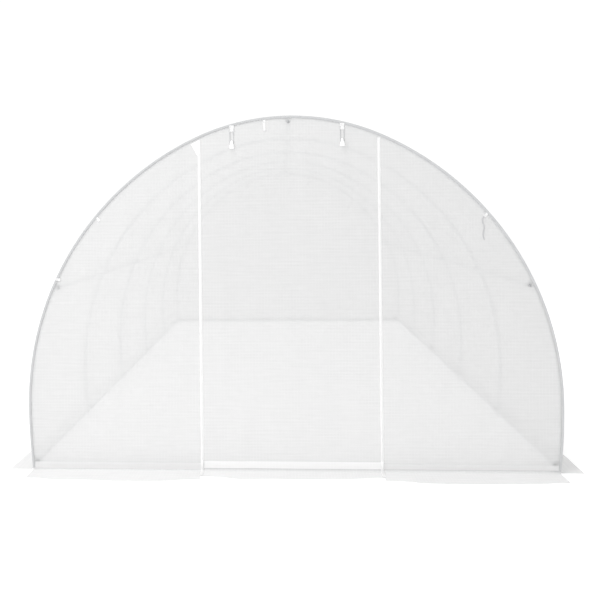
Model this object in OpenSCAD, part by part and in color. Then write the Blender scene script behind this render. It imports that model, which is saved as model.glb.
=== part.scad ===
// Walk-in polytunnel greenhouse: hooped steel tube frame under a fabric cover,
// with a zipped roll-up door in each end wall and a ground flap all round.
// Millimetres. X runs across, Y along the tunnel with the front end at -Y, Z up from the ground.

/* [Tunnel] */
// Width over the hoop tubes at their widest
tunnel_w = 3000; // [2800:10:3400]
// Height over the hoop tubes at the crown
tunnel_h = 2000; // [1950:10:2200]
// Length over the two end hoops
tunnel_l = 5000; // [3000:100:8000]

/* [Hoops] */
// Outside diameter of the frame tubes
tube_d = 20; // [16:1:24]
// Wall of the frame tubes
tube_wall = 1; // [0.8:0.1:1.5]
// Bend radius of the crown, at the tube's middle
crown_r = 1260; // [1150:10:1300]
// Height of the widest point of a hoop
widest_z = 370; // [300:10:450]
// How far each foot stands in from the widest point
foot_tuck = 22; // [15:1:40]
// Length of the sleeve inside each tube joint
sleeve_l = 80; // [50:5:120]

/* [Purlins and rails] */
// Height at which the side purlins meet the hoops
side_purlin_z = 1050; // [900:10:1200]
// Distance of a hoop's lower tube joint from the side purlin
joint_drop = 70; // [60:5:150]
// Height of the two side rails
side_rail_z = 46; // [45:1:80]
// Height of the two door sills
sill_z = 14; // [13.5:0.5:15]
// Length of a clip along the tubes it holds
clip_l = 32; // [26:1:34]
// Wall of a clip round its tube
clip_wall = 3; // [2:0.5:3]

/* [Cover] */
// Thickness of the cover sheets
cover_t = 2; // [1:0.5:3]
// Width of the ground flap
flap_w = 130; // [80:5:200]
// Width of the flap under each door
door_flap_w = 80; // [50:5:130]
// Slit between neighbouring flaps
flap_slit = 12; // [4:1:30]

/* [Doors] */
// Width between the two zips
door_w = 1010; // [800:10:1150]
// Height of the upper zip ends
zip_top_z = 1820; // [1500:10:1830]
// Width of the zip tape
zip_w = 24; // [16:1:40]
// Thickness of the zip tape
zip_t = 1.5; // [1:0.5:3]
// Width of the zip chain
chain_w = 7; // [5:0.5:10]
// Length of a door tie's elastic loop
loop_l = 78; // [60:2:110]
// Width of a door tie's elastic loop
loop_w = 24; // [18:1:30]
// Height of a tie's bell toggle
toggle_h = 44; // [30:1:60]
// Diameter of a tie's bell toggle at its foot
toggle_d = 28; // [20:1:36]
// Diameter of the tie cord
cord_d = 4; // [3:0.5:5]

/* [Hidden] */
$fn = 64;

// Space between pieces that seat on each other
seat = 0.3;

// Tube sizes
tube_r = tube_d / 2;
bore_r = tube_r - tube_wall;
sleeve_r = bore_r - seat;

// A hoop is three tangent arcs a side: crown, shoulder and leg
hoop_half_w = tunnel_w / 2 - tube_r;
hoop_top_z = tunnel_h - tube_r;
crown_z = hoop_top_z - crown_r;
side_gain = hoop_half_w - crown_r;
centre_drop = crown_z - widest_z;
radius_gain = (centre_drop ^ 2 + side_gain ^ 2) / (2 * side_gain);
shoulder_r = crown_r + radius_gain;
shoulder_x = hoop_half_w - shoulder_r;
crown_a = asin((radius_gain - side_gain) / radius_gain);
leg_r = (widest_z ^ 2 + foot_tuck ^ 2) / (2 * foot_tuck);
leg_x = hoop_half_w - leg_r;
side_a = asin((side_purlin_z - widest_z) / shoulder_r);
joint_a = side_a - joint_drop / shoulder_r * 180 / PI;
crown_c = [0, crown_z];
shoulder_c = [shoulder_x, widest_z];
leg_c = [leg_x, widest_z];

// Hoop planes, from the front end to the back end
hoop_count = 6;
first_y = tube_r - tunnel_l / 2;
bay_l = -2 * first_y / (hoop_count - 1);

// Purlins and rails pass inside the hoops, held off them by a clip's web
web = 1.5;
inset = tube_d + 2 * seat + web;
rail_a = asin((widest_z - side_rail_z) / leg_r);
sill_a = asin((widest_z - sill_z) / leg_r);
sill_foot_x = leg_x + leg_r * cos(sill_a);
clip_r = tube_r + seat + clip_wall;
run_gap = 1;

// Cover surfaces
cover_in = tube_r + seat;
cover_out = cover_in + cover_t;
wall_y = tunnel_l / 2 + seat;
front_y = wall_y + cover_t;
cover_foot_a = asin(widest_z / (leg_r + cover_out));
foot_x = leg_x + (leg_r + cover_out) * cos(cover_foot_a);

// Outline of an end wall, round the outside of a hoop from the right foot over to the left
wall_r = tube_r;
wall_foot_a = asin(widest_z / (leg_r + wall_r));
steps = 12;
function on_arc(c, r, a) = [c[0] + r * cos(a), c[1] + r * sin(a)];
function half_wall() = concat(
    [for (i = [0 : 3]) on_arc(leg_c, leg_r + wall_r, -wall_foot_a * (1 - i / 4))],
    [for (i = [0 : 2 * steps - 1]) on_arc(shoulder_c, shoulder_r + wall_r, (90 - crown_a) * i / (2 * steps))],
    [for (i = [0 : steps]) on_arc(crown_c, crown_r + wall_r, 90 - crown_a + crown_a * i / steps)]
);
function wall_top(x) = crown_z + sqrt((crown_r + wall_r) ^ 2 - x ^ 2);

// Door fittings on the outside of an end wall
slider_z = 34;
slider_l = 26;
slider_w = 16;
slider_t = 5;
pull_l = 34;
pull_w = 9;
pull_t = 1.5;
pull_hole_d = 4;
tie_x = [-318, 302];
tab_w = 26;
tab_l = 36;
tab_t = 1.5;
loop_band = 4;
tape_x = -133;
tape_l = 68;
tape_w = 12;
edge_tie_z = 1440;
edge_tie_l = 46;
edge_tie_w = 14;

edge_tie_a = asin((edge_tie_z - widest_z) / shoulder_r);

// Tie cord on the front wall: middle points in X and Z from the right edge tie, chosen by hand
cord_path = [[-20, -16], [-25, -23], [-29, -31], [-30, -40], [-28, -49], [-25, -58], [-22, -67], [-21, -76],
    [-21, -85], [-23, -94], [-25, -103], [-27, -112], [-27, -121], [-26, -130], [-23, -139], [-21, -148]];

// Placing

module both_sides() {
    children();
    mirror([1, 0, 0]) children();
}

module both_ends() {
    children();
    mirror([0, 1, 0]) children();
}

// Sweeps a flat shape, drawn at its radius, round a bend centre in the XZ plane
module bend(centre, a0, a1) {
    translate([centre[0], 0, centre[1]])
        rotate([90, 0, 0])
            rotate([0, 0, a0])
                rotate_extrude(angle = a1 - a0)
                    children();
}

// Hoops

module ring(outer, inner) {
    difference() {
        circle(outer);
        circle(inner);
    }
}

module bent_tube(centre, r, a0, a1, outer, inner) {
    bend(centre, a0, a1) translate([r, 0]) ring(outer, inner);
}

// The joint gap keeps neighbouring tubes of a hoop just apart
function gap_a(r) = seat / r * 180 / PI;

module leg_tube() {
    difference() {
        bent_tube(leg_c, leg_r, -cover_foot_a - 1, -gap_a(leg_r), tube_r, bore_r);
        translate([0, -tube_d, -tunnel_h]) cube([tunnel_w, 2 * tube_d, tunnel_h]);
    }
}

module hoop(i) {
    color("gray") translate([0, first_y + (i - 1) * bay_l, 0]) {
        bent_tube(crown_c, crown_r, 90 - crown_a + gap_a(crown_r), 90 + crown_a - gap_a(crown_r), tube_r, bore_r);
        both_sides() {
            bent_tube(shoulder_c, shoulder_r, joint_a + gap_a(shoulder_r), 90 - crown_a, tube_r, bore_r);
            bent_tube(shoulder_c, shoulder_r, 0, joint_a, tube_r, bore_r);
            leg_tube();
        }
    }
}

// A short inner tube bridges each joint of every hoop
module joint_sleeves() {
    shoulder_half = sleeve_l / 2 / shoulder_r * 180 / PI;
    color("silver")
        for (i = [0 : hoop_count - 1])
            translate([0, first_y + i * bay_l, 0])
                both_sides()
                    for (a = [0, joint_a, 90 - crown_a])
                        bent_tube(shoulder_c, shoulder_r, a - shoulder_half, a + shoulder_half,
                            sleeve_r, sleeve_r - tube_wall);
}

// Purlins and rails

// A row of straight tubes along Y that meet inside the clips
module tube_row(x, z) {
    color("gray")
        for (i = [0 : hoop_count - 2]) {
            from = i == 0 ? -tunnel_l / 2 : first_y + i * bay_l + run_gap / 2;
            to = i == hoop_count - 2 ? tunnel_l / 2 : first_y + (i + 1) * bay_l - run_gap / 2;
            translate([x, from, z]) rotate([-90, 0, 0]) linear_extrude(to - from) ring(tube_r, bore_r);
        }
}

module ridge_purlin() tube_row(0, hoop_top_z - inset);

module right_purlin() {
    p = on_arc(shoulder_c, shoulder_r - inset, side_a);
    tube_row(p[0], p[1]);
}

module left_purlin() mirror([1, 0, 0]) right_purlin();

module right_rail() {
    p = on_arc(leg_c, leg_r - inset, -rail_a);
    tube_row(p[0], p[1]);
}

module left_rail() mirror([1, 0, 0]) right_rail();

module front_sill() {
    color("gray") translate([-sill_foot_x - tube_r, first_y + inset, sill_z])
        rotate([0, 90, 0]) linear_extrude(2 * (sill_foot_x + tube_r)) ring(tube_r, bore_r);
}

module back_sill() mirror([0, 1, 0]) front_sill();

// A clip is a sleeve on the inner tube with a cradle for the tube it crosses.
// Here the inner tube lies along Y at the origin and the crossed tube along X above it,
// turned by lean where it doesn't cross squarely.
module clip(slide, along, lean = 0) {
    difference() {
        union() {
            translate([0, slide - clip_l / 2, 0]) rotate([-90, 0, 0]) cylinder(h = clip_l, r = clip_r);
            translate([-along / 2, -tube_r + seat, 0]) cube([along, tube_d - 2 * seat, inset - 2]);
        }
        translate([0, -clip_l * 2, 0]) rotate([-90, 0, 0]) cylinder(h = clip_l * 4, r = tube_r + seat);
        translate([0, 0, inset]) rotate([0, 90, lean])
            cylinder(h = 2 * along, r = tube_r + seat, center = true);
    }
}

// Clips of an end hoop slide inwards so that they stay behind the end wall
function clip_slide(i) =
    i == 0 ? clip_l / 2 - tube_r + seat : i == hoop_count - 1 ? tube_r - seat - clip_l / 2 : 0;

module clip_row(c, r, a) {
    p = on_arc(c, r - inset, a);
    color("dimgray")
        for (i = [0 : hoop_count - 1])
            translate([p[0], first_y + i * bay_l, p[1]])
                rotate([0, 90 - a, 0])
                    clip(clip_slide(i), clip_l);
}

module purlin_clips() {
    clip_row(crown_c, crown_r, 90);
    both_sides() clip_row(shoulder_c, shoulder_r, side_a);
}

module rail_clips() both_sides() clip_row(leg_c, leg_r, -rail_a);

module sill_clips() {
    color("dimgray") both_ends() both_sides()
        translate([sill_foot_x, first_y + inset, sill_z])
            rotate([90, 90, 0])
                clip(tube_r - seat - clip_l / 2, 2 * clip_r, -sill_a);
}

// Cover over the hoops

module cover_arc(centre, r, a0, a1) {
    color("white", 0.6) bend(centre, a0, a1)
        translate([r + cover_in, -front_y]) square([cover_t, 2 * front_y]);
}

module cover_crown() cover_arc(crown_c, crown_r, 90 - crown_a, 90 + crown_a);

module cover_right_upper() cover_arc(shoulder_c, shoulder_r, joint_a, 90 - crown_a);

module cover_left_upper() mirror([1, 0, 0]) cover_right_upper();

module cover_right_lower() cover_arc(shoulder_c, shoulder_r, 0, joint_a);

module cover_left_lower() mirror([1, 0, 0]) cover_right_lower();

module cover_right_foot() cover_arc(leg_c, leg_r, -cover_foot_a, 0);

module cover_left_foot() mirror([1, 0, 0]) cover_right_foot();

// Ground flaps

module right_flap() {
    color("white", 0.6) translate([foot_x + seat, -front_y, 0]) cube([flap_w, 2 * front_y, cover_t]);
}

module left_flap() mirror([1, 0, 0]) right_flap();

module front_flap() {
    side_l = foot_x - zip_line() - flap_slit / 2;
    color("white", 0.6) {
        translate([-zip_line() + flap_slit / 2, -front_y - door_flap_w, 0])
            cube([door_w - flap_slit, door_flap_w, cover_t]);
        both_sides()
            translate([zip_line() + flap_slit / 2, -front_y - flap_w, 0])
                cube([side_l, flap_w, cover_t]);
    }
}

module back_flap() mirror([0, 1, 0]) front_flap();

// End walls

function zip_line() = door_w / 2;

module wall_area() {
    half = half_wall();
    count = len(half);
    polygon(concat(half, [for (i = [count - 2 : -1 : 0]) [-half[i][0], half[i][1]]]));
}

// The stretch of an end wall between two X values
module wall_panel(from, to) {
    color("white", 0.6) translate([0, -wall_y, 0]) rotate([90, 0, 0]) linear_extrude(cover_t)
        intersection() {
            wall_area();
            translate([from, -tube_d]) square([to - from, tunnel_h + 2 * tube_d]);
        }
}

module front_left_panel() wall_panel(-tunnel_w, -zip_line());

module front_door() wall_panel(-zip_line(), zip_line());

module front_right_panel() wall_panel(zip_line(), tunnel_w);

module back_left_panel() mirror([0, 1, 0]) front_left_panel();

module back_door() mirror([0, 1, 0]) front_door();

module back_right_panel() mirror([0, 1, 0]) front_right_panel();

// Zips: tape, chain, and a slider with its pull at the foot

module pull_tab() {
    rotate([90, 0, 0]) linear_extrude(pull_t) difference() {
        translate([-pull_w / 2, 0]) square([pull_w, pull_l]);
        translate([0, pull_w / 2]) circle(d = pull_hole_d);
    }
}

module zip() {
    chain_t = zip_t + 1.5;
    color("white") translate([0, -front_y, 0]) {
        translate([-zip_w / 2, -zip_t, cover_t]) cube([zip_w, zip_t, zip_top_z - cover_t]);
        translate([0, 0, cover_t]) linear_extrude(zip_top_z - cover_t)
            polygon([[-chain_w / 2, -zip_t / 2], [chain_w / 2, -zip_t / 2],
                [chain_w / 2 - 1, -chain_t], [1 - chain_w / 2, -chain_t]]);
        translate([0, -zip_t / 2, slider_z]) rotate([90, 0, 0]) linear_extrude(slider_t)
            polygon([[-slider_w / 4, 0], [slider_w / 4, 0], [slider_w / 2, slider_l * 0.6],
                [slider_w / 3, slider_l], [-slider_w / 3, slider_l], [-slider_w / 2, slider_l * 0.6]]);
        translate([0, -slider_t, slider_z + slider_l * 0.7 - pull_l]) pull_tab();
    }
}

module front_left_zip() translate([-zip_line(), 0, 0]) zip();

module front_right_zip() translate([zip_line(), 0, 0]) zip();

module back_left_zip() mirror([0, 1, 0]) front_left_zip();

module back_right_zip() mirror([0, 1, 0]) front_right_zip();

// Door ties: a sewn tab, an elastic loop under it and a bell toggle, for holding the rolled door

module front_ties() {
    color("white") translate([0, -front_y, 0]) rotate([90, 0, 0]) {
        for (x = tie_x) {
            top = wall_top(x) - 8 - tab_l;
            translate([x - tab_w / 2, top]) linear_extrude(tab_t) square([tab_w, tab_l]);
            translate([x, top - loop_l]) linear_extrude(2 * tab_t) difference() {
                translate([-loop_w / 2, 0]) square([loop_w, loop_l + tab_l / 2]);
                translate([-loop_w / 2 + loop_band, loop_band])
                    square([loop_w - 2 * loop_band, loop_l + tab_l / 2 - 2 * loop_band]);
            }
        }
        translate([tape_x - tape_w / 2, wall_top(tape_x) - 8 - tape_l])
            linear_extrude(tab_t) square([tape_w, tape_l]);
    }
}

module bell() {
    r = toggle_d / 2;
    rotate_extrude() polygon([[0, 0], [r - 2, 0], [r, 3], [r * 0.9, toggle_h * 0.35],
        [r * 0.5, toggle_h * 0.75], [r * 0.45, toggle_h - 2], [r * 0.3, toggle_h], [0, toggle_h]]);
}

// The back of a bell is cut flat where it lies on its loop
module front_toggles() {
    back = toggle_d / 6;
    color("whitesmoke")
        for (x = tie_x)
            translate([x, -front_y - 2 * tab_t - back, wall_top(x) - 8 - tab_l - loop_l - toggle_h * 0.4])
                difference() {
                    bell();
                    translate([-toggle_d, back, -toggle_h]) cube([2 * toggle_d, toggle_d, 3 * toggle_h]);
                }
}

module back_ties() mirror([0, 1, 0]) front_ties();

module back_toggles() mirror([0, 1, 0]) front_toggles();

// Edge ties hold the front wall to its hoop

module edge_ties() {
    p = on_arc(shoulder_c, shoulder_r, edge_tie_a);
    color("white") both_sides()
        translate([p[0], -front_y, edge_tie_z]) rotate([90, 0, 0]) linear_extrude(tab_t)
            rotate([0, 0, 45]) translate([-edge_tie_l, -edge_tie_w / 2]) square([edge_tie_l, edge_tie_w]);
}

// Tie cord

module tie_cord() {
    sides = 8;
    count = len(cord_path);
    function heading(i) = let (a = cord_path[max(i - 1, 0)], b = cord_path[min(i + 1, count - 1)])
        atan2(b[1] - a[1], b[0] - a[0]);
    rings = [for (i = [0 : count - 1], k = [0 : sides - 1])
        let (h = heading(i), u = cord_d / 2 * cos(k * 360 / sides), v = cord_d / 2 * sin(k * 360 / sides))
            [cord_path[i][0] - u * sin(h), v, cord_path[i][1] + u * cos(h)]];
    skins = [for (i = [0 : count - 2], k = [0 : sides - 1])
        [i * sides + k, i * sides + (k + 1) % sides,
         (i + 1) * sides + (k + 1) % sides, (i + 1) * sides + k]];
    ends = [[for (k = [sides - 1 : -1 : 0]) k], [for (k = [0 : sides - 1]) (count - 1) * sides + k]];
    tie = on_arc(shoulder_c, shoulder_r, edge_tie_a);
    color("gray") translate([tie[0], -front_y - tab_t - cord_d / 2, tie[1]])
        polyhedron(points = rings, faces = concat(skins, ends));
}

hoop(1);  // hoop_1
hoop(2);  // hoop_2
hoop(3);  // hoop_3
hoop(4);  // hoop_4
hoop(5);  // hoop_5
hoop(6);  // hoop_6
joint_sleeves();
ridge_purlin();
left_purlin();
right_purlin();
left_rail();
right_rail();
front_sill();
back_sill();
purlin_clips();
rail_clips();
sill_clips();
cover_crown();
cover_left_upper();
cover_right_upper();
cover_left_lower();
cover_right_lower();
cover_left_foot();
cover_right_foot();
left_flap();
right_flap();
front_flap();
back_flap();
front_left_panel();
front_door();
front_right_panel();
front_left_zip();
front_right_zip();
front_ties();
front_toggles();
back_left_panel();
back_door();
back_right_panel();
back_left_zip();
back_right_zip();
back_ties();
back_toggles();
edge_ties();
tie_cord();
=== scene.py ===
# %% [markdown]
# # A walk-in polytunnel greenhouse
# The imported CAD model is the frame: steel hoops, purlins, rails, clips and toggles stay as they are and get
# better finishes. The cloth is flat stock there, so each sheet is modelled again here as one continuous
# skin with its sag and creases. Everything is in metres, with the front end at -Y and Z up from the ground.

# %% Load the frame
from math import asin, atan2, cos, degrees, exp, pi, radians, sin, sqrt

import bmesh
import bpy
from mathutils import Matrix, Vector, noise


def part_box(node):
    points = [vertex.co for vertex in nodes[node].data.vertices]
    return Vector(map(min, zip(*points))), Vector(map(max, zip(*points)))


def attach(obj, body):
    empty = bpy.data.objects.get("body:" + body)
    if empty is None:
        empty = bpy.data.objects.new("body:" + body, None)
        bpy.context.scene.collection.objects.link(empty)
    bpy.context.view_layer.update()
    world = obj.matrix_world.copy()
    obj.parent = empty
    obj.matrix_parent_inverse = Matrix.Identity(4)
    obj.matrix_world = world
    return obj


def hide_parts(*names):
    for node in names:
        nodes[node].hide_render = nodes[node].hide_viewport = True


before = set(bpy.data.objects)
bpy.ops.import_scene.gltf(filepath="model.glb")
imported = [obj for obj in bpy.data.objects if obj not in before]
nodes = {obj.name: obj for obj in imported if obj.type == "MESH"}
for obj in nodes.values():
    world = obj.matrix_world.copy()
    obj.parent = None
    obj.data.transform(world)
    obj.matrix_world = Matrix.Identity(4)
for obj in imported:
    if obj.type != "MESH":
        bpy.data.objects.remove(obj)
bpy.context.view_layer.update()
print("CAD nodes:", len(nodes))

# %% [markdown]
# ## Camera
# The photograph looks along the tunnel from about eye height. Lines that run along the tunnel meet left of
# and above the picture's middle, while uprights stay nearly upright. A level camera with a shifted frame
# gives exactly that: a tilted one would make the uprights converge. The small turn and roll were found by
# least squares from points along the arch, the zips and the ground line.

# %% Camera
PHOTO_PX = 600
FOCAL_PX = 634.7
AXIS_PX = (253.0, 214.6)   # the pixel that the lens looks straight at
SENSOR_MM = 36.0
EYE = (-0.030, -6.076, 1.447)
AIM_DEG = (90, 0.63, 2.77)   # level, a slight roll and a slight turn
FAR = 200

camera_data = bpy.data.cameras.new("photo_camera")
camera_data.sensor_width = SENSOR_MM
camera_data.lens = FOCAL_PX / PHOTO_PX * SENSOR_MM
camera_data.shift_x = (PHOTO_PX / 2 - AXIS_PX[0]) / PHOTO_PX
camera_data.shift_y = (AXIS_PX[1] - PHOTO_PX / 2) / PHOTO_PX
camera_data.clip_end = FAR
camera = bpy.data.objects.new("photo_camera", camera_data)
camera.location = EYE
camera.rotation_euler = [radians(angle) for angle in AIM_DEG]
bpy.context.collection.objects.link(camera)
bpy.context.scene.camera = camera
print("lens %.1f mm" % camera_data.lens, "at", EYE)

# %% [markdown]
# ## Helpers
# Colours are written as the hex values a paint chart would give, so one function turns them into the linear
# numbers that shaders use. Another adds one shader node, sets it up and wires its inputs, so that each
# material below reads from top to bottom like a recipe. A third turns finished mesh work into a piece.

# %% Colours and nodes


def linear(hex_colour):
    """sRGB hex to the linear RGBA that a shader socket takes."""
    channels = [int(hex_colour[i:i + 2], 16) / 255 for i in (1, 3, 5)]
    return [c / 12.92 if c <= 0.04045 else ((c + 0.055) / 1.055) ** 2.4 for c in channels] + [1.0]


def add(tree, kind, settings=None, **inputs):
    """Adds one node. Settings are its own properties; an input is a value or another node's output."""
    node = tree.nodes.new("ShaderNode" + kind)
    for key, value in (settings or {}).items():
        setattr(node, key, value)
    for key, value in inputs.items():
        numbered = key[0] == "i" and key[1:].isdigit()
        socket = node.inputs[int(key[1:])] if numbered else node.inputs[key.replace("_", " ")]
        if isinstance(value, bpy.types.NodeSocket):
            tree.links.new(value, socket)
        else:
            socket.default_value = value
    return node


def new_material(name):
    """An empty node material, its tree and its output node."""
    material = bpy.data.materials.new(name)
    material.use_nodes = True
    tree = material.node_tree
    tree.nodes.clear()
    return material, tree, add(tree, "OutputMaterial")


# %% Pieces


def piece_from(bm, name, material):
    """Turns a bmesh into a smooth piece at the origin that rides on the tunnel."""
    mesh = bpy.data.meshes.new(name)
    bm.to_mesh(mesh)
    bm.free()
    mesh.polygons.foreach_set("use_smooth", [True] * len(mesh.polygons))
    mesh.materials.append(material)
    piece = bpy.data.objects.new(name, mesh)
    bpy.context.collection.objects.link(piece)
    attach(piece, "root")
    return piece


# %% [markdown]
# ## The arch
# A hoop is three arcs a side that flow into each other: a tight crown, a wide shoulder and a nearly
# straight leg. The cloth needs the same curve, so it is worked out once here from the hoop's own sizes.

# %% The arch's radii and centres
TUBE_R = 0.010
HALF_W = 1.500 - TUBE_R
TOP_Z = 2.000 - TUBE_R
CROWN_R = 1.260
WIDEST_Z = 0.370
TUCK = 0.022
BAY = 0.996
BAYS = 5

FRONT_Y = -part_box("front_door")[0].y
FIRST_HOOP_Y = -BAYS / 2 * BAY
CROWN_Z = TOP_Z - CROWN_R
side_gain = HALF_W - CROWN_R
radius_gain = ((CROWN_Z - WIDEST_Z) ** 2 + side_gain ** 2) / (2 * side_gain)
SHOULDER_R = CROWN_R + radius_gain
SHOULDER_X = HALF_W - SHOULDER_R
CROWN_A = asin((radius_gain - side_gain) / radius_gain)
LEG_R = (WIDEST_Z ** 2 + TUCK ** 2) / (2 * TUCK)
LEG_X = HALF_W - LEG_R


def past_hoop(x, z):
    """How far a point lies outside the hoop's middle line, and how far along the arch from the crown."""
    x = abs(x)
    crown_l = CROWN_R * CROWN_A
    shoulder_l = SHOULDER_R * (pi / 2 - CROWN_A)
    turn = atan2(x, z - CROWN_Z)
    if z > CROWN_Z and turn <= CROWN_A:
        return sqrt(x * x + (z - CROWN_Z) ** 2) - CROWN_R, CROWN_R * turn
    up = atan2(z - WIDEST_Z, x - SHOULDER_X)
    if up >= 0:
        reach = sqrt((x - SHOULDER_X) ** 2 + (z - WIDEST_Z) ** 2)
        return reach - SHOULDER_R, crown_l + SHOULDER_R * (pi / 2 - CROWN_A - up)
    reach = sqrt((x - LEG_X) ** 2 + (z - WIDEST_Z) ** 2)
    return reach - LEG_R, crown_l + shoulder_l + LEG_R * atan2(WIDEST_Z - z, x - LEG_X)


def wall_top(x):
    """The height of an end wall's edge near the crown."""
    return CROWN_Z + sqrt((CROWN_R + TUBE_R) ** 2 - x * x)


print("shoulder radius %.3f m, crown half-angle %.1f degrees" % (SHOULDER_R, degrees(CROWN_A)))

# %% [markdown]
# ## Tie cord
# A short tail of braided cord hangs from the edge tie on the right. Its route is the one in the CAD model:
# a few points, listed in millimetres from the tie. A Bezier curve through them keeps the bends soft.

# %% Material: braided cord
# Grey cord with a fine braid: the crossing strands give it a broken, slightly rough edge.
STRAND = 0.002   # a real strand is 0.6 mm wide; drawn coarser so that it shows


def braided_cord(name, colour, cross_colour):
    material, tree, out = new_material(name)
    place = add(tree, "TexCoord").outputs["Object"]
    strands = add(tree, "TexWave", {"bands_direction": "DIAGONAL"}, Vector=place, Scale=1 / STRAND,
                  Distortion=1.0)
    shade = add(tree, "MixRGB", None, i0=strands.outputs["Fac"], i1=linear(colour), i2=linear(cross_colour))
    relief = add(tree, "Bump", None, Strength=0.5, Distance=0.0004, Height=strands.outputs["Fac"])
    skin = add(tree, "BsdfPrincipled", None, Base_Color=shade.outputs[0], Roughness=0.8,
               Normal=relief.outputs[0])
    tree.links.new(skin.outputs[0], out.inputs[0])
    return material


grey_cord = braided_cord("braided_polyester_cord", "#AEB0B2", "#C6C7C8")
# The elastic's mid grey is painted shade: it stands in for the shade along the edges of a white elastic cord.
elastic_painted_shade = braided_cord("braided_elastic_painted_shade", "#A6A8AA", "#C6C7C8")
print("materials", grey_cord.name, elastic_painted_shade.name)

# %% Tie cord
TIE_Z = 1.440
TAB_T = 0.0015
CORD_D = 0.004
ROUTE_MM = (
    (-20, -16), (-25, -23), (-29, -31), (-30, -40), (-28, -49), (-25, -58), (-22, -67), (-21, -76),
    (-21, -85), (-23, -94), (-25, -103), (-27, -112), (-27, -121), (-26, -130), (-23, -139), (-21, -148),
)

tie_a = asin((TIE_Z - WIDEST_Z) / SHOULDER_R)
tie_x = SHOULDER_X + SHOULDER_R * cos(tie_a)
cord_y = -FRONT_Y - TAB_T - CORD_D / 2
route = [Vector((tie_x + x / 1000, cord_y, TIE_Z + z / 1000)) for x, z in ROUTE_MM]
curve = bpy.data.curves.new("tie_cord_tail", "CURVE")
curve.dimensions = "3D"
curve.bevel_depth = CORD_D / 2
curve.bevel_resolution = 3
curve.use_fill_caps = True
spline = curve.splines.new("BEZIER")
spline.bezier_points.add(len(route) - 1)
for point, place in zip(spline.bezier_points, route):
    point.co = place
    point.handle_left_type = point.handle_right_type = "AUTO"
curve.materials.append(grey_cord)
cord = bpy.data.objects.new("tie_cord_tail", curve)
bpy.context.collection.objects.link(cord)
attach(cord, "root")
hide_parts("tie_cord")

# %% [markdown]
# ## Woven sheet
# The cover is woven polyethylene: milky tapes about 3 mm wide with a thicker reinforcing thread every
# 18 mm. It passes light, so the frame shows through as soft grey lines. The tapes are finer than a pixel,
# so only the reinforcing grid is drawn, at its own spacing, with long faint streaks where the weft is
# uneven. A part of each ray goes straight through, a part is scattered to the far side, and the rest is
# reflected. Hems and patches are the same cloth doubled, which lets almost nothing straight through.

# %% Material: woven polyethylene sheet
GRID = 0.018
MOTTLE = 0.250               # patches where the cloth is denser or thinner
STREAKS = (5.0, 85.0, 1.0)   # to a metre along and across the weft: 200 mm long, 12 mm high
UNEVEN = 0.03                # how much the streaks change the cloth's density
CLOUDY = 0.025               # and the patches
THREAD = (0.01, 0.06)        # how much denser a thread is, from thin to dense cloth


def woven_sheet(name, see_through, glow_share, colour):
    material, tree, out = new_material(name)
    uv = add(tree, "UVMap").outputs[0]
    grid = add(tree, "TexBrick", {"offset": 0.0, "squash": 1.0}, Vector=uv, Scale=1 / GRID,
               Mortar_Size=0.10, Mortar_Smooth=1.0, Brick_Width=1.0, Row_Height=1.0)
    mottle = add(tree, "TexNoise", None, Vector=uv, Scale=1 / MOTTLE, Detail=3.0, Roughness=0.6)
    weft_map = add(tree, "Mapping", None, Vector=uv, Scale=STREAKS)
    weft = add(tree, "TexNoise", None, Vector=weft_map.outputs[0], Scale=1.0, Detail=2.0)
    patch = add(tree, "MapRange", None, Value=mottle.outputs["Fac"], From_Min=0.35, From_Max=0.65,
                To_Min=THREAD[0], To_Max=THREAD[1])
    threads = add(tree, "Math", {"operation": "MULTIPLY"}, i0=grid.outputs["Fac"], i1=patch.outputs[0])
    dense = add(tree, "MapRange", None, Value=weft.outputs["Fac"], From_Min=0.25, From_Max=0.75,
                To_Min=1 - see_through - UNEVEN, To_Max=1 - see_through + UNEVEN)
    cloud = add(tree, "MapRange", None, Value=mottle.outputs["Fac"], From_Min=0.3, From_Max=0.7,
                To_Min=-CLOUDY, To_Max=CLOUDY)
    dense = add(tree, "Math", {"operation": "ADD"}, i0=dense.outputs[0], i1=cloud.outputs[0])
    dense = add(tree, "Math", {"operation": "ADD", "use_clamp": True}, i0=dense.outputs[0],
                i1=threads.outputs[0])
    relief = add(tree, "Bump", None, Strength=0.2, Distance=0.0006, Height=grid.outputs["Fac"])
    skin = add(tree, "BsdfPrincipled", None, Base_Color=linear(colour), Roughness=0.45,
               Specular_IOR_Level=0.3, Normal=relief.outputs[0])
    glow = add(tree, "BsdfTranslucent", None, Color=linear(colour))
    cloth = add(tree, "MixShader", None, i0=glow_share, i1=skin.outputs[0], i2=glow.outputs[0])
    clear = add(tree, "BsdfTransparent")
    both = add(tree, "MixShader", None, i0=dense.outputs[0], i1=clear.outputs[0], i2=cloth.outputs[0])
    tree.links.new(both.outputs[0], out.inputs[0])
    return material


cover_sheet = woven_sheet("woven_polyethylene", 0.19, 0.36, "#E6E6E6")
doubled_sheet = woven_sheet("doubled_woven_polyethylene", 0.03, 0.15, "#FBFBFB")
hemmed_sheet = woven_sheet("hemmed_woven_polyethylene", 0.03, 0.20, "#F1F1F1")
print("materials", cover_sheet.name, doubled_sheet.name, hemmed_sheet.name)

# %% [markdown]
# ## Roof cover
# One sheet runs over all the hoops from the left ground flap to the right one. It is swept the way it lies:
# a row of edges along the tunnel is pulled in over the flap, turned up at the foot and then spun round each
# arc of the hoop in turn. Between the hoops the slack cloth then drops a few millimetres.

# %% Sweeping and creasing helpers


def chain(bm, points):
    """A row of vertices through the points, and the edges between them."""
    verts = [bm.verts.new(point) for point in points]
    return verts + [bm.edges.new(pair) for pair in zip(verts, verts[1:])]


def sweep(bm, row, move):
    """Pulls a row of vertices and edges along by one spin, and returns the new row."""
    made = bmesh.ops.spin(bm, geom=row, **move)["geom_last"]
    return [g for g in made if isinstance(g, (bmesh.types.BMVert, bmesh.types.BMEdge))]


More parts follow.
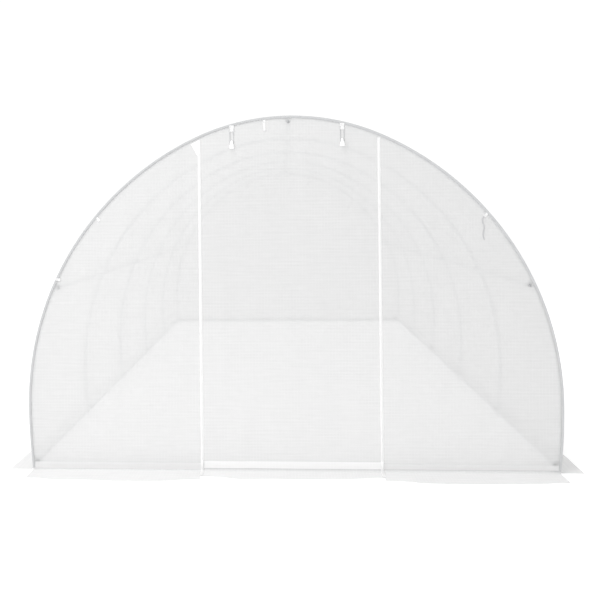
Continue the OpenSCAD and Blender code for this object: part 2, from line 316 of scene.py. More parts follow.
def along(vector, steps):
    """A straight pull."""
    step = Vector(vector) / steps
    return {"cent": (0, 0, 0), "axis": (0, 0, 1), "angle": 0, "dvec": step, "steps": steps}


def round_y(x, z, angle, steps):
    """A turn about a line along Y, from +X towards +Z."""
    return {"cent": (x, 0, z), "axis": (0, -1, 0), "angle": angle, "steps": steps}


def ease(value, low, high):
    """0 below low, 1 above high and a smooth step between."""
    t = min(1.0, max(0.0, (value - low) / (high - low)))
    return t * t * (3 - 2 * t)


def ripple(x, y, z, size, seed):
    """Smooth noise from -1 to 1 with features of about that size, the same on each run."""
    return noise.noise(Vector((x / size + seed * 7.31, y / size - seed * 3.17, z / size + seed * 1.93)))


# %% Roof sheet, still taut
COVER_R = TUBE_R + 0.0012   # the cloth's middle, just clear of the tubes
FLAP_Z = 0.0012
FOOT_R = 0.010
FLAP_W = 0.128
FLAP_STEPS = 6
FOOT_STEPS = 5
STEP = 0.026         # the size of the cloth's mesh
TURN_RISE = 1.118    # how far the turn at the foot climbs, in its radius

foot_a = asin((WIDEST_Z - FLAP_Z - FOOT_R * TURN_RISE) / (LEG_R + COVER_R))
foot_x = LEG_X + (LEG_R + COVER_R) * cos(foot_a)
turn_x = foot_x + FOOT_R * cos(foot_a)


def cover_arcs():
    """Each arc of the cover from the right foot over to the left: its centre, radius and angle."""
    shoulder_a = pi / 2 - CROWN_A
    yield LEG_X, WIDEST_Z, LEG_R + COVER_R, foot_a
    yield SHOULDER_X, WIDEST_Z, SHOULDER_R + COVER_R, shoulder_a
    yield 0, CROWN_Z, CROWN_R + COVER_R, 2 * CROWN_A
    yield -SHOULDER_X, WIDEST_Z, SHOULDER_R + COVER_R, shoulder_a
    yield -LEG_X, WIDEST_Z, LEG_R + COVER_R, foot_a


def over_the_arch(bm, row):
    """Sweeps a row that starts at the right foot over to the left one."""
    for x, z, r, angle in cover_arcs():
        row = sweep(bm, row, round_y(x, z, angle, round(angle * r / STEP)))
    return row


bm = bmesh.new()
corner = bm.verts.new((turn_x + FLAP_W, -FRONT_Y, FLAP_Z))
sweep(bm, [corner], along((0, 2 * FRONT_Y, 0), round(2 * FRONT_Y / STEP)))
row = list(bm.verts) + list(bm.edges)
row = sweep(bm, row, along((-FLAP_W, 0, 0), FLAP_STEPS))
row = sweep(bm, row, round_y(turn_x, FLAP_Z + FOOT_R, -(pi / 2 + foot_a), FOOT_STEPS))
row = over_the_arch(bm, row)
row = sweep(bm, row, round_y(-turn_x, FLAP_Z + FOOT_R, -(pi / 2 + foot_a), FOOT_STEPS))
sweep(bm, row, along((-FLAP_W, 0, 0), FLAP_STEPS))
bmesh.ops.recalc_face_normals(bm, faces=bm.faces)

uv = bm.loops.layers.uv.new("cloth")
for face in bm.faces:
    for loop in face.loops:
        x, y, z = loop.vert.co
        side = 1 if x > 0 else -1
        past = max(0.0, abs(x) - turn_x)
        loop[uv].uv = (y, side * (past_hoop(x, max(z, 0))[1] + past))
print("taut roof", len(bm.faces), "faces")

# %% Roof cover with its sag and creases
# Each kind of unevenness has a depth and, where it repeats, a length.
BAY_SAG = 0.010
CREASE, CREASE_L = 0.0035, 0.16
SWELL, SWELL_L = 0.003, 0.45
FLAP_LIFT, FLAP_LIFT_L = 0.006, 0.22
FLAP_DRAW, FLAP_DRAW_L = 0.014, 0.5

for vert in bm.verts:
    x, y, z = vert.co
    bay = (y - FIRST_HOOP_Y) / BAY
    slack = sin(pi * bay) ** 2 if 0 < bay < BAYS else 0.0
    if abs(x) > turn_x:
        out = (abs(x) - turn_x) / FLAP_W
        vert.co.z += FLAP_LIFT * out * max(0.0, ripple(x, y, 0, FLAP_LIFT_L, seed=1) + 0.15)
        draw = FLAP_DRAW * out * (0.5 + 0.5 * ripple(x, y, 0, FLAP_DRAW_L, seed=2))
        vert.co.x -= draw if x > 0 else -draw
    elif z > 2 * FOOT_R:
        drop = BAY_SAG * slack * (0.6 + 0.4 * ease(z, 0.3, 1.2))
        # The factors draw a crease out round the arch.
        crease = CREASE * slack * ripple(x * 0.4, y * 1.6, z * 0.4, CREASE_L, seed=3)
        crease += SWELL * slack * ripple(x, y, z, SWELL_L, seed=4)
        vert.co -= vert.normal * ease(z, 0.02, 0.25) * (drop - crease)

roof = piece_from(bm, "roof_cover", cover_sheet)
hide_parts("cover_crown", "cover_left_upper", "cover_right_upper", "cover_left_lower",
            "cover_right_lower", "cover_left_foot", "cover_right_foot", "left_flap", "right_flap")

# %% [markdown]
# ## End walls
# Each end wall is three sheets: a panel, the door and a panel, cut from flat cloth to the curve of the
# hoop. A grid is trimmed by planes that touch the arch all round, as a cutter trims to a chalk line. At the
# ground each sheet turns out into its flap. The zips hold the edges flat, so the creases fade out towards
# them. A doubled hem along the foot stiffens each sheet. The back end repeats the front.

# %% Trimming to the arch
ENDS = ((False, "front"), (True, "back"))


def arch_cuts():
    """Points and outward directions round the arch, for the planes that trim an end wall."""
    for side in (1, -1):
        for x, z, r, a0, a1, count in (
            (LEG_X, WIDEST_Z, LEG_R, -foot_a, 0, 5),
            (SHOULDER_X, WIDEST_Z, SHOULDER_R, 0, pi / 2 - CROWN_A, 24),
            (0, CROWN_Z, CROWN_R, pi / 2 - CROWN_A, pi / 2, 10),
        ):
            for i in range(count):
                a = a0 + (a1 - a0) * (i + 0.5) / count
                out = Vector((side * cos(a), 0, sin(a)))
                yield Vector((side * x, 0, z)) + (r + TUBE_R) * out, out


def trim(bm, point, direction):
    """Cuts away what lies past a plane."""
    geom = list(bm.verts) + list(bm.edges) + list(bm.faces)
    bmesh.ops.bisect_plane(bm, geom=geom, dist=1e-6, plane_co=point, plane_no=direction, clear_outer=True)


def upright_grid(bm, left, right, low, high, step):
    """A flat grid that stands up, facing the front."""
    wide, tall = right - left, high - low
    made = bmesh.ops.create_grid(bm, x_segments=max(1, round(wide / step)),
                                 y_segments=max(1, round(tall / step)), size=0.5)
    middle = Matrix.Translation(((left + right) / 2, 0, (low + high) / 2))
    place = middle @ Matrix.Rotation(radians(90), 4, "X") @ Matrix.Diagonal((wide, tall, 1, 1))
    bmesh.ops.transform(bm, matrix=place, verts=made["verts"])


def turn_to_back(bm):
    """Repeats a front piece at the back end."""
    bmesh.ops.transform(bm, matrix=Matrix.Diagonal((1, -1, 1, 1)), verts=bm.verts)
    bmesh.ops.reverse_faces(bm, faces=bm.faces)


# %% Creases and weave of an end wall
BROAD, BROAD_L = 0.006, 0.55
FOLD, FOLD_L = 0.0035, 0.16
PULL_IN, PULL_IN_L, PULL_REACH = 0.004, 0.13, 0.10


def wall_crease(x, z, left, right, seed):
    """How far the cloth of an end wall stands out at a point. Factors on x and z draw a crease out."""
    to_zip = min(x - left, right - x)
    held = ease(TUBE_R - past_hoop(x, z)[0], 0.02, 0.16) * ease(to_zip, 0.004, 0.09) * ease(z, 0.03, 0.14)
    broad = BROAD * ripple(x, 0, z * 0.5, BROAD_L, seed)
    folds = FOLD * ripple(x * 1.9, 0, z * 0.35, FOLD_L, seed + 1)
    pull = PULL_IN * exp(-max(to_zip, 0) / PULL_REACH) * ripple(x * 0.6, 0, z, PULL_IN_L, seed + 2)
    return held * (broad + folds + pull)


def cloth_uv(bm):
    """Lays the weave on an end wall's sheet: metres across and up, running on over the flap."""
    uv = bm.loops.layers.uv.new("cloth")
    for face in bm.faces:
        for loop in face.loops:
            x, y, z = loop.vert.co
            loop[uv].uv = (x, z + y + FRONT_Y)


# %% Sheets and hems of an end wall
ZIP_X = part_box("front_door")[1].x
ZIP_GAP = 0.0055   # from the zip's middle to the edge of the cloth
zip_low, zip_high = (corner.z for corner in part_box("front_left_zip"))
SHEET_Y = -FRONT_Y + 0.0008
WALL_STEP = 0.020
HEM_STEP = 0.012
HEM_PROUD = 0.0012
WALL_FOOT_STEPS = 4
EDGE_BACK, CORNER_BACK, CORNER_L = 0.015, 0.03, 0.25   # how far a flap's edge and corners draw back
EDGE_WAVE, EDGE_WAVE_L = 0.015, 0.35
END_LIFT_L = 0.20


def foot_turn(y, z):
    """A quarter turn from the wall out on to the ground."""
    return {"cent": (0, y, z), "axis": (-1, 0, 0), "angle": pi / 2, "steps": WALL_FOOT_STEPS}


def wall_sheet(name, left, right, at_back, flap_w, seed):
    """One sheet of an end wall between two X values, with the flap at its foot."""
    bm = bmesh.new()
    foot = FLAP_Z + FOOT_R
    upright_grid(bm, left, right, foot, TOP_Z + TUBE_R, WALL_STEP)
    for point, direction in arch_cuts():
        trim(bm, point, direction)
    bmesh.ops.translate(bm, vec=(0, SHEET_Y, 0), verts=bm.verts)
    hem = [e for e in bm.edges if all(v.co.z < foot + 1e-5 for v in e.verts)]
    hem += list(dict.fromkeys(v for e in hem for v in e.verts))
    hem = sweep(bm, hem, foot_turn(SHEET_Y - FOOT_R, foot))
    sweep(bm, hem, along((0, -flap_w, 0), FLAP_STEPS))
    bmesh.ops.recalc_face_normals(bm, faces=bm.faces)
    cloth_uv(bm)
    for vert in bm.verts:
        x, y, z = vert.co
        past = SHEET_Y - FOOT_R - y
        if past > 1e-4:
            out = past / flap_w
            inner = min(ease(x - left, 0.0, CORNER_L), ease(right - x, 0.0, CORNER_L))
            wave = EDGE_WAVE * ripple(x, 0, 0, EDGE_WAVE_L, seed + 3)
            vert.co.y += out * (EDGE_BACK + CORNER_BACK * (1 - inner) + wave)
            vert.co.z += FLAP_LIFT * out * max(0.0, ripple(x, y, 0, END_LIFT_L, seed + 4) + 0.1)
        elif z > foot:
            vert.co.y -= wall_crease(x, z, left, right, seed)
        at_zip = min(abs(x - left), abs(x - right)) < 1e-5 and abs(x) < 2 * ZIP_X
        if at_zip and not zip_low < z < zip_high:
            vert.co.x = ZIP_X if x > 0 else -ZIP_X
    if at_back:
        turn_to_back(bm)
    return piece_from(bm, name, cover_sheet)


def hem_strip(name, left, right, low, high, cloth, at_back, seed):
    """A doubled strip sewn along the foot of a sheet."""
    bm = bmesh.new()
    upright_grid(bm, left, right, low, high, HEM_STEP)
    for vert in bm.verts:
        vert.co.y = SHEET_Y - HEM_PROUD - wall_crease(vert.co.x, vert.co.z, left, right, seed)
    cloth_uv(bm)
    if at_back:
        turn_to_back(bm)
    return piece_from(bm, name, cloth)


# %% End walls
PAST_FOOT = 0.026
REACH = turn_x + PAST_FOOT   # a panel's outer edge, before it is trimmed to the arch
HEM_IN = 0.012               # from a hem's end to the foot of the arch
SHEETS = (   # each sheet's left and right edge, flap and seed, then its hem's foot, top and cloth
    ("left_panel", -REACH, -ZIP_X - ZIP_GAP, 0.158, 10, (0.009, 0.046, hemmed_sheet)),
    ("door", ZIP_GAP - ZIP_X, ZIP_X - ZIP_GAP, 0.118, 20, (0.017, 0.056, doubled_sheet)),
    ("right_panel", ZIP_X + ZIP_GAP, REACH, 0.158, 30, (0.018, 0.046, hemmed_sheet)),
)
BACK_SEED = 5       # gives the back other creases than the front

for at_back, word in ENDS:
    for part, left, right, flap_w, seed, strip in SHEETS:
        seed += BACK_SEED if at_back else 0
        sheet = wall_sheet(f"{word}_{part}_sheet", left, right, at_back, flap_w, seed)
        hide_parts(f"{word}_{part}", f"{word}_flap")
        ends = max(left, HEM_IN - foot_x), min(right, foot_x - HEM_IN)
        hem = hem_strip(f"{word}_{part}_hem", *ends, *strip, at_back, seed)
        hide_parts(f"{word}_{part}")

# %% [markdown]
# ## Arch bindings
# Where the roof meets an end wall, the two edges are sewn together over the end hoop and bound with a tape,
# which draws the arch as a thin line. Its grey is partly painted shade: darker than the hoop's own coat, it
# stands in for the hoop seen through the cloth and the shade that the hoop puts there. The tape is a short
# profile, flat on the wall and folded back over the roof, that is swept round the same arcs as the roof.

# %% Material: woven tape
# Polyester tape is matt with a fine herringbone that breaks up its highlights.
RIB = 0.003    # real ribs are 0.5 mm apart; drawn coarser so that they show
WORN = 0.040   # patches where the tape is worn


def woven_tape(name, colour, worn_colour, glow_share):
    material, tree, out = new_material(name)
    place = add(tree, "TexCoord").outputs["Object"]
    ribs = add(tree, "TexWave", {"bands_direction": "DIAGONAL"}, Vector=place, Scale=1 / RIB,
               Distortion=0.5)
    wear = add(tree, "TexNoise", None, Vector=place, Scale=1 / WORN, Detail=3.0)
    shade = add(tree, "MixRGB", None, i0=wear.outputs["Fac"], i1=linear(colour), i2=linear(worn_colour))
    relief = add(tree, "Bump", None, Strength=0.3, Distance=0.0004, Height=ribs.outputs["Fac"])
    skin = add(tree, "BsdfPrincipled", None, Base_Color=shade.outputs[0], Roughness=0.8,
               Normal=relief.outputs[0])
    glow = add(tree, "BsdfTranslucent", None, Color=shade.outputs[0])
    both = add(tree, "MixShader", None, i0=glow_share, i1=skin.outputs[0], i2=glow.outputs[0])
    tree.links.new(both.outputs[0], out.inputs[0])
    return material


white_tape = woven_tape("woven_polyester_tape", "#FEFEFE", "#F8F8F8", 0.30)
# The binding tape's grey is partly painted shade, for the hoop and its shade behind the cloth.
binding_tape_with_painted_shade = woven_tape("binding_tape_painted_shade", "#CFD0D1", "#BFC0C1", 0.05)
print("materials", white_tape.name, binding_tape_with_painted_shade.name)

# %% Arch bindings
# The tape from its edge on the wall to its edge on the roof: mm out from the cloth, mm back.
BINDING = ((-13.0, -0.4), (-12.4, -1.0), (-1.6, -1.2), (0.4, -1.0), (1.0, 0.4), (0.8, 6.4), (0.2, 7.0))

for at_back, word in ENDS:
    bm = bmesh.new()
    foot = Vector((foot_x, -FRONT_Y, WIDEST_Z - (LEG_R + COVER_R) * sin(foot_a)))
    outward = Vector((cos(foot_a), 0, -sin(foot_a)))
    row = chain(bm, [foot + outward * out / 1000 + Vector((0, back / 1000, 0)) for out, back in BINDING])
    over_the_arch(bm, row)
    bmesh.ops.recalc_face_normals(bm, faces=bm.faces)
    if at_back:
        turn_to_back(bm)
    binding = piece_from(bm, f"{word}_arch_binding", binding_tape_with_painted_shade)
    print(binding.name, len(binding.data.polygons), "faces")

# %% [markdown]
# ## Zips
# Each side of the door closes with a nylon coil zip, sewn to the cloth by its two tapes. The tape is a
# short profile pulled up the wall, and its lower end turns out on to the flap. One turn of the coil is spun
# as a helix, and an Array modifier repeats it up the zip. The slider waits at the foot, where it stops when
# the door is shut.

# %% Material: moulded plastic
# Moulded plastic has a soft sheen from a fine spark-eroded grain.
GRAIN = 0.0015   # real grain is about 0.1 mm; drawn coarser so that it shows
HANDLED = 30.0   # patches to a metre where hands have polished it, 33 mm each


def moulded_plastic(name, colour, rough):
    material, tree, out = new_material(name)
    place = add(tree, "TexCoord").outputs["Object"]
    grain = add(tree, "TexNoise", None, Vector=place, Scale=1 / GRAIN, Detail=2.0)
    handled = add(tree, "TexNoise", None, Vector=place, Scale=HANDLED, Detail=3.0)
    gloss = add(tree, "MapRange", None, Value=handled.outputs["Fac"], To_Min=rough - 0.1,
                To_Max=rough + 0.1)
    relief = add(tree, "Bump", None, Strength=0.15, Distance=0.0002, Height=grain.outputs["Fac"])
    skin = add(tree, "BsdfPrincipled", None, Base_Color=linear(colour), Roughness=gloss.outputs[0],
               Normal=relief.outputs[0])
    tree.links.new(skin.outputs[0], out.inputs[0])
    return material


white_nylon = moulded_plastic("nylon_coil", "#FDFDFD", 0.4)
white_slider = moulded_plastic("moulded_acetal_slider", "#FBFBFB", 0.4)
print("materials", white_nylon.name, white_slider.name)

# %% Zip tape and coil
# The tape's edge, stitched groove and middle: mm out from the middle, mm proud of the cloth.
TAPE_HALF = ((8.2, 0.2), (7.7, 1.2), (6.4, 1.2), (6.0, 0.8), (5.6, 1.2), (3.0, 1.2), (0.4, 1.0))
TAPE_STOP = 0.021    # from the top of the tape to the edge of the arch
TAPE_STEPS = 60
TAIL = 0.060         # the tape's lower end, which lies forward on the flap
TAIL_LIFT = 0.003
COIL_PITCH = 0.006   # a real coil turns every 2 mm; drawn coarser so that it shows
COIL_R = 0.0021
COIL_SIDE, COIL_PROUD = 0.0016, 0.0018
COIL_FLAT = 0.6      # how flat the coil is pressed
WIRE_R = 0.0008
TURN_STEPS = 6


def with_edges(verts):
    """The vertices, then each of their edges once, in a fixed order."""
    return list(verts) + list(dict.fromkeys(e for v in verts for e in v.link_edges))


def zip_tape():
    """The tape of one zip, with its tail on the ground."""
    bm = bmesh.new()
    foot = FLAP_Z + FOOT_R
    profile = [(-x, d) for x, d in TAPE_HALF] + [(x, d) for x, d in reversed(TAPE_HALF)]
    row = chain(bm, [(x / 1000, -d / 1000, foot) for x, d in profile])
    tape_high = wall_top(ZIP_X + TAPE_HALF[0][0] / 1000) - TAPE_STOP
    sweep(bm, row, along((0, 0, tape_high - foot), TAPE_STEPS))
    row = sweep(bm, row, foot_turn(-FOOT_R, foot))
    sweep(bm, row, along((0, -TAIL, TAIL_LIFT), FLAP_STEPS))
    bmesh.ops.recalc_face_normals(bm, faces=bm.faces)
    return bm


def zip_coil():
    """One turn of the two coils, which mesh side by side."""
    bm = bmesh.new()
    for side in (-1, 1):
        middle = Vector((side * COIL_SIDE, -COIL_PROUD, zip_low + COIL_PITCH))
        tilt = Matrix.Translation(middle + Vector((COIL_R, 0, 0))) @ Matrix.Rotation(radians(90), 4, "X")
        wire = bmesh.ops.create_circle(bm, cap_ends=False, segments=5, radius=WIRE_R, matrix=tilt)["verts"]
        sweep(bm, with_edges(wire), {"cent": middle, "axis": (0, 0, 1), "angle": side * 2 * pi,
                                     "dvec": (0, 0, COIL_PITCH / TURN_STEPS), "steps": TURN_STEPS})
    bmesh.ops.scale(bm, vec=(1, COIL_FLAT, 1), verts=bm.verts)
    bmesh.ops.recalc_face_normals(bm, faces=bm.faces)
    return bm


# %% Zip slider
SLIDER_Z = 0.034
SLIDER = (0.014, 0.007, 0.026)   # width, depth, length
SLIDER_Y = -0.0036
SLIDER_NECK = 0.62               # width at the lower end, as a share of the upper
HINGE_UP = 0.7                   # where the pull hangs, as a share of the slider's length
BAIL_Y, BAIL_R, BAIL_WIRE_R = -0.0060, 0.005, 0.0009
PULL = (0.009, 0.0016, 0.034)
PULL_Y, PULL_UP = -0.0095, 0.003


def rounded_block(bm, middle, size, round_r):
    """A block with all its edges rounded."""
    place = Matrix.Translation(middle) @ Matrix.Diagonal((*size, 1))
    cube = bmesh.ops.create_cube(bm, size=1, matrix=place)["verts"]
    edges = list(dict.fromkeys(e for v in cube for e in v.link_edges))
    bmesh.ops.bevel(bm, geom=edges, offset=round_r, segments=2, profile=0.5, affect="EDGES", material=-1)


def zip_slider():
    """A slider that narrows downwards, the bail on its face and the pull that hangs from it."""
    bm = bmesh.new()
    long = SLIDER[2]
    rounded_block(bm, (0, SLIDER_Y, SLIDER_Z + long / 2), SLIDER, 0.0018)
    for vert in bm.verts:
        widening = ease(vert.co.z, SLIDER_Z, SLIDER_Z + 0.6 * long)
        vert.co.x *= SLIDER_NECK + (1 - SLIDER_NECK) * widening
    hinge = SLIDER_Z + HINGE_UP * long
    start = Matrix.Translation((0, BAIL_Y, hinge + BAIL_R))
    bail = bmesh.ops.create_circle(bm, cap_ends=False, segments=8, radius=BAIL_WIRE_R, matrix=start)
    bend = {"cent": (0, BAIL_Y, hinge), "axis": (1, 0, 0), "angle": pi, "steps": 8}
    sweep(bm, with_edges(bail["verts"]), bend)
    rounded_block(bm, (0, PULL_Y, hinge - PULL[2] / 2 + PULL_UP), PULL, 0.0006)
    bmesh.ops.recalc_face_normals(bm, faces=bm.faces)
    return bm


# %% Zips
ZIP_PARTS = (
    ("tape", zip_tape, white_tape),
    ("coil", zip_coil, white_nylon),
    ("slider", zip_slider, white_slider),
)
TURNS_LESS = 3   # turns that are left out at the ends

for at_back, word in ENDS:
    for side, hand in ((-1, "left"), (1, "right")):
        for part, make, material in ZIP_PARTS:
            bm = make()
            bmesh.ops.translate(bm, vec=(side * ZIP_X, -FRONT_Y, 0), verts=bm.verts)
            if at_back:
                turn_to_back(bm)
            piece = piece_from(bm, f"{word}_{hand}_zip_{part}", material)
            if part == "coil":
                turns = piece.modifiers.new("turns", "ARRAY")
                turns.count = int((zip_high - zip_low) / COIL_PITCH) - TURNS_LESS
                turns.use_relative_offset = False
                turns.use_constant_offset = True
                turns.constant_offset_displace = (0, 0, COIL_PITCH)
                turns.use_merge_vertices = True
                turns.merge_threshold = 0.0001
            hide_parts(f"{word}_{hand}_zip")
print("zips %.2f m long" % (zip_high - zip_low))

# %% [markdown]
# ## Patches and bolts
# A doubled patch spreads the pull where the left zip ends under the arch. Small capped bolts hold the ridge
# and the right purlin to the end hoops. The patch is a grid trimmed to three sides. A bolt's cap is half a
# profile, spun once round.

# %% Zip patches
PATCH_OUT = 0.048    # how far the patch reaches past the zip, away from the door
PATCH_IN = 0.004
PATCH_POINT = 0.008  # its lower corner, beside the zip
PATCH_DROP = 0.040
PATCH_GAP = 0.022    # below the edge of the arch
PATCH_STEP = 0.006
PATCH_PROUD = 0.0006

for at_back, word in ENDS:
    bm = bmesh.new()
    inner, outer = -ZIP_X + PATCH_IN, -ZIP_X - PATCH_OUT
    upright_grid(bm, outer, inner, zip_high - PATCH_DROP, TOP_Z, PATCH_STEP)
    for point, direction in arch_cuts():
        trim(bm, point - PATCH_GAP * direction, direction)
    corner = Vector((outer, 0, wall_top(outer) - PATCH_GAP))
    side = Vector((-ZIP_X - PATCH_POINT, 0, zip_high - PATCH_DROP)) - corner
    trim(bm, corner, Vector((side.z, 0, -side.x)).normalized())
    for vert in bm.verts:
        vert.co.y = -FRONT_Y - PATCH_PROUD
    cloth_uv(bm)
    if at_back:
        turn_to_back(bm)
    patch = piece_from(bm, f"{word}_zip_patch", doubled_sheet)
    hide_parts(f"{word}_left_panel")
    print(patch.name, len(patch.data.polygons), "faces")

# %% Purlin bolts
# A cap from its top to its rim: mm out, mm proud.
CAP = ((0.0, 4.6), (1.7, 4.3), (3.0, 3.4), (3.6, 2.4), (3.6, 1.1), (5.6, 0.9), (6.0, 0.6), (6.0, 0.0))
CAP_STEPS = 16
grey_cap = moulded_plastic("moulded_bolt_cap", "#A8AAAC", 0.45)

for at_back, word in ENDS:
    bm = bmesh.new()
    for purlin in ("ridge_purlin", "right_purlin"):
        low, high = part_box(purlin)
        middle = Vector(((low.x + high.x) / 2, -FRONT_Y, (low.z + high.z) / 2))
        row = chain(bm, [middle + Vector((r / 1000, -d / 1000, 0)) for r, d in CAP])
        bmesh.ops.spin(bm, geom=row, cent=middle, axis=(0, 1, 0), angle=2 * pi, steps=CAP_STEPS,
                       use_merge=True)
    bmesh.ops.remove_doubles(bm, verts=bm.verts, dist=1e-5)
    bmesh.ops.recalc_face_normals(bm, faces=bm.faces)
    if at_back:
        turn_to_back(bm)
    bolts = piece_from(bm, f"{word}_purlin_bolts", grey_cap)
    print(bolts.name, len(bolts.data.polygons), "faces")

# %% [markdown]
# ## Ties
# Above the door, two sewn tabs hold elastic loops with bell toggles that keep the rolled-up door in place,
# and a tape hangs between them. Two short tapes tie the front wall to its hoop, and a strap near the left
# purlin crosses the binding at each end. A tape is a profile with raised selvedges pulled to length, then
# given its thickness.

# %% Tape and loop helpers
TAPE_T = 0.0009
TAPE_LIES = 0.0002   # above what it lies on
TAPE_STEP_COUNT = 14
SELVEDGE = ((-0.5, 0.0), (-0.42, 0.0004), (-0.3, 0.0001), (0.3, 0.0001), (0.42, 0.0004), (0.5, 0.0))
TAB = (0.026, 0.036)   # width and length, as for each tape
LOOP_L, LOOP_W = 0.078, 0.024
LOOP_UP, LOOP_PROUD = 0.004, 0.0018
ELASTIC_R = 0.0014
LOOP_STEPS = 12


def flat_tape(bm, size, place, lift):
    """A tape that hangs from the origin until a matrix puts it in place. Its free end lifts a little."""
    wide, long = size
    before = set(bm.verts)
    row = chain(bm, [(x * wide, -TAPE_LIES - d, 0) for x, d in SELVEDGE])
    sweep(bm, row, along((0, 0, -long), TAPE_STEP_COUNT))
    made = [v for v in bm.verts if v not in before]
    for vert in made:
        vert.co.y -= lift * ease(-vert.co.z / long, 0.3, 1.0)
    bmesh.ops.transform(bm, matrix=place, verts=made)


def tape_piece(bm, name, at_back):
    """Gives the tapes in a bmesh their thickness."""
    if at_back:
        turn_to_back(bm)
    bmesh.ops.recalc_face_normals(bm, faces=bm.faces)
    bmesh.ops.solidify(bm, geom=bm.faces, thickness=TAPE_T)
    return piece_from(bm, name, white_tape)


def elastic_loop(bm, x, top):
    """A loop of round elastic: down, round the bottom and up again."""
    turn_r = LOOP_W / 2 - ELASTIC_R
    low = top - TAB[1] - LOOP_L + turn_r + LOOP_UP
    high = top - TAB[1] / 2
    y = -FRONT_Y - LOOP_PROUD
    start = Matrix.Translation((x - turn_r, y, high))
    ring = bmesh.ops.create_circle(bm, cap_ends=True, segments=8, radius=ELASTIC_R, matrix=start)["verts"]
    row = sweep(bm, with_edges(ring), along((0, 0, low - high), LOOP_STEPS))
    row = sweep(bm, row, {"cent": (x, y, low), "axis": (0, -1, 0), "angle": pi, "steps": LOOP_STEPS})
    sweep(bm, row, along((0, 0, high - low), LOOP_STEPS))


# %% Door ties
TIE_X = (-0.318, 0.302)
TAPE_X = -0.133
TAPE = (0.012, 0.068)
TOP_GAP = 0.008
TAB_PROUD, TAB_LIFT, TAPE_LIFT = 0.0014, 0.0012, 0.0030

for at_back, word in ENDS:
    bm = bmesh.new()
    for x in TIE_X:
        flat_tape(bm, TAB, Matrix.Translation((x, -FRONT_Y - TAB_PROUD, wall_top(x) - TOP_GAP)), TAB_LIFT)
    flat_tape(bm, TAPE, Matrix.Translation((TAPE_X, -FRONT_Y, wall_top(TAPE_X) - TOP_GAP)), TAPE_LIFT)
    tapes = tape_piece(bm, f"{word}_tie_tapes", at_back)
    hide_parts(f"{word}_ties")
    bm = bmesh.new()
    for x in TIE_X:
        elastic_loop(bm, x, wall_top(x) - TOP_GAP)
    if at_back:
        turn_to_back(bm)
    bmesh.ops.recalc_face_normals(bm, faces=bm.faces)
    loops = piece_from(bm, f"{word}_tie_loops", elastic_painted_shade)
    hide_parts(f"{word}_ties")
    print(tapes.name, "and", loops.name, "at", TIE_X)

# %% Edge ties and binding straps
EDGE_TIE = (0.014, 0.028)
EDGE_TURN = 45
EDGE_LIFT = 0.0010
STRAP = (0.015, 0.030)
STRAP_UP = 0.048   # above the left purlin
STRAP_TURN = -85
BINDING_OUT = 0.001

bm = bmesh.new()
for side in (-1, 1):
    spot = Matrix.Translation((side * tie_x, -FRONT_Y, TIE_Z))
    flat_tape(bm, EDGE_TIE, spot @ Matrix.Rotation(radians(side * EDGE_TURN), 4, "Y"), EDGE_LIFT)
edge_tapes = tape_piece(bm, "edge_tie_tapes", at_back=False)
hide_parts("edge_ties")

low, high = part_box("left_purlin")
strap_z = (low.z + high.z) / 2 + STRAP_UP
rim_r = SHOULDER_R + COVER_R + BINDING_OUT
strap_x = SHOULDER_X + sqrt(rim_r ** 2 - (strap_z - WIDEST_Z) ** 2)
for at_back, word in ENDS:
    bm = bmesh.new()
    spot = Matrix.Translation((-strap_x, -FRONT_Y - TAB_PROUD, strap_z))
    flat_tape(bm, STRAP, spot @ Matrix.Rotation(radians(STRAP_TURN), 4, "Y"), TAB_LIFT)
    tape_piece(bm, f"{word}_binding_strap", at_back)
print("edge ties at +-%.3f, straps at -%.3f" % (tie_x, strap_x))

# %% [markdown]
# ## Steel tube
# Hoops, purlins, rails and sills are thin steel tube with a pale grey powder coat. Powder coat has a faint
# orange peel, which shows as soft unevenness in the gloss rather than as colour. The sleeves inside the
# joints have a smoother coat, and clips and toggles are moulded. All these nodes keep their CAD shape.

# %% Material: powder-coated steel, and the frame's finishes
PEEL = 0.004   # across one dimple of the orange peel
DUST = 6.0     # dusty patches to a metre, 170 mm each


def powder_coat(name, colour, rough):
    material, tree, out = new_material(name)
    place = add(tree, "TexCoord").outputs["Object"]
    peel = add(tree, "TexNoise", None, Vector=place, Scale=1 / PEEL, Detail=2.0)
    dust = add(tree, "TexNoise", None, Vector=place, Scale=DUST, Detail=4.0)
    gloss = add(tree, "MapRange", None, Value=dust.outputs["Fac"], To_Min=rough - 0.08,
                To_Max=rough + 0.12)
    relief = add(tree, "Bump", None, Strength=0.15, Distance=0.0003, Height=peel.outputs["Fac"])
    coat = add(tree, "BsdfPrincipled", None, Base_Color=linear(colour), Roughness=gloss.outputs[0],
               Normal=relief.outputs[0])
    tree.links.new(coat.outputs[0], out.inputs[0])
    return material


tube_coat = powder_coat("pale_powder_coat", "#DDDFE0", 0.42)
sleeve_coat = powder_coat("smooth_powder_coat", "#D6D8D9", 0.35)
clip_plastic = moulded_plastic("moulded_grey_nylon", "#C4C6C8", 0.5)
toggle_plastic = moulded_plastic("moulded_white_polypropylene", "#FCFCFC", 0.35)
FINISHES = (   # the first word that a node's name holds gives its finish
    ("clips", clip_plastic), ("toggles", toggle_plastic), ("joint_sleeves", sleeve_coat),
    ("hoop_", tube_coat), ("purlin", tube_coat), ("rail", tube_coat), ("sill", tube_coat),
)
finished = []
for name, node in nodes.items():
    finish = next((material for word, material in FINISHES if word in name), None)
    if finish:
        node.data.materials.clear()
        node.data.materials.append(finish)
        finished.append(name)
print("finished nodes:", len(finished))

# %% [markdown]
# ## Floor and light
# The photograph is a cut-out on white. A pale floor that glows a little, like a light table, and a white
# surround give the same. One large soft lamp above the front end whitens the flaps on the ground, and one
# low on the left brightens that side and leaves the right greyer. The surround lights the cloth less than
# it shows, as a studio's dark walls would, or the tunnel would be as white as the backdrop.

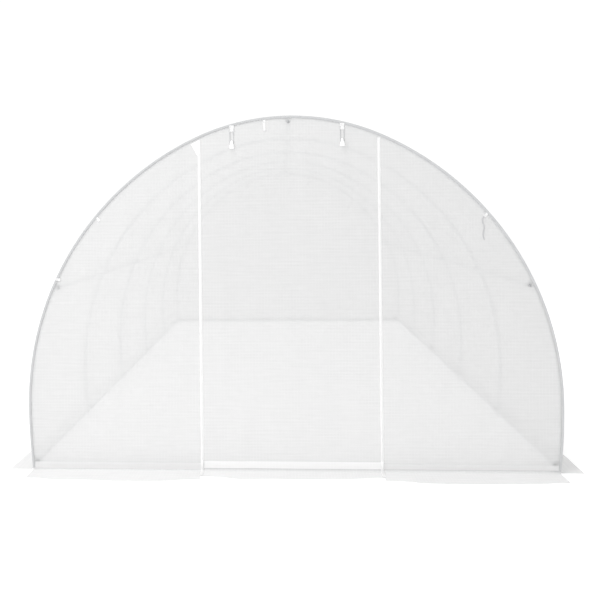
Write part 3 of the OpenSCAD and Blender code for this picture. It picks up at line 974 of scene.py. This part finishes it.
# %% Floor
FLOOR_HALF = 60
FLOOR_GLOW = 0.38

floor_material, tree, out = new_material("pale_floor")
floor_skin = add(tree, "BsdfPrincipled", None, Base_Color=linear("#E8E8E8"), Roughness=0.9,
                 Emission_Color=linear("#FFFFFF"), Emission_Strength=FLOOR_GLOW)
tree.links.new(floor_skin.outputs[0], out.inputs[0])
bm = bmesh.new()
bmesh.ops.create_grid(bm, x_segments=1, y_segments=1, size=FLOOR_HALF)
mesh = bpy.data.meshes.new("floor")
bm.to_mesh(mesh)
bm.free()
mesh.materials.append(floor_material)
floor = bpy.data.objects.new("floor", mesh)
bpy.context.collection.objects.link(floor)
print("floor", 2 * FLOOR_HALF, "m wide")

# %% Surround and lamps
LIGHT_GIVEN = 0.80
LIGHT_SHOWN = 1.05
LAMP_SIZE = 3.0

world = bpy.data.worlds.new("white_surround")
world.use_nodes = True
tree = world.node_tree
tree.nodes.clear()
lights = add(tree, "Background", None, Color=linear("#FFFFFF"), Strength=LIGHT_GIVEN)
shows = add(tree, "Background", None, Color=linear("#FFFFFF"), Strength=LIGHT_SHOWN)
seen = add(tree, "LightPath").outputs["Is Camera Ray"]
surround = add(tree, "MixShader", None, i0=seen, i1=lights.outputs[0], i2=shows.outputs[0])
add(tree, "OutputWorld", None, Surface=surround.outputs[0])
bpy.context.scene.world = world
bpy.context.scene.view_settings.view_transform = "Standard"


def soft_lamp(name, place, target, power):
    """A large round lamp at a place, turned to a target."""
    data = bpy.data.lights.new(name, "AREA")
    data.shape = "DISK"
    data.size = LAMP_SIZE
    data.energy = power
    lamp = bpy.data.objects.new(name, data)
    lamp.location = place
    lamp.rotation_euler = (Vector(target) - Vector(place)).to_track_quat("-Z", "Y").to_euler()
    bpy.context.collection.objects.link(lamp)


soft_lamp("high_front_lamp", place=(-2.0, -4.5, 7.0), target=(-0.5, -2.7, 0.0), power=165)
soft_lamp("front_left_lamp", place=(-6.0, -7.0, 3.0), target=(-1.0, -2.5, 0.3), power=110)
print("surround and two lamps set")
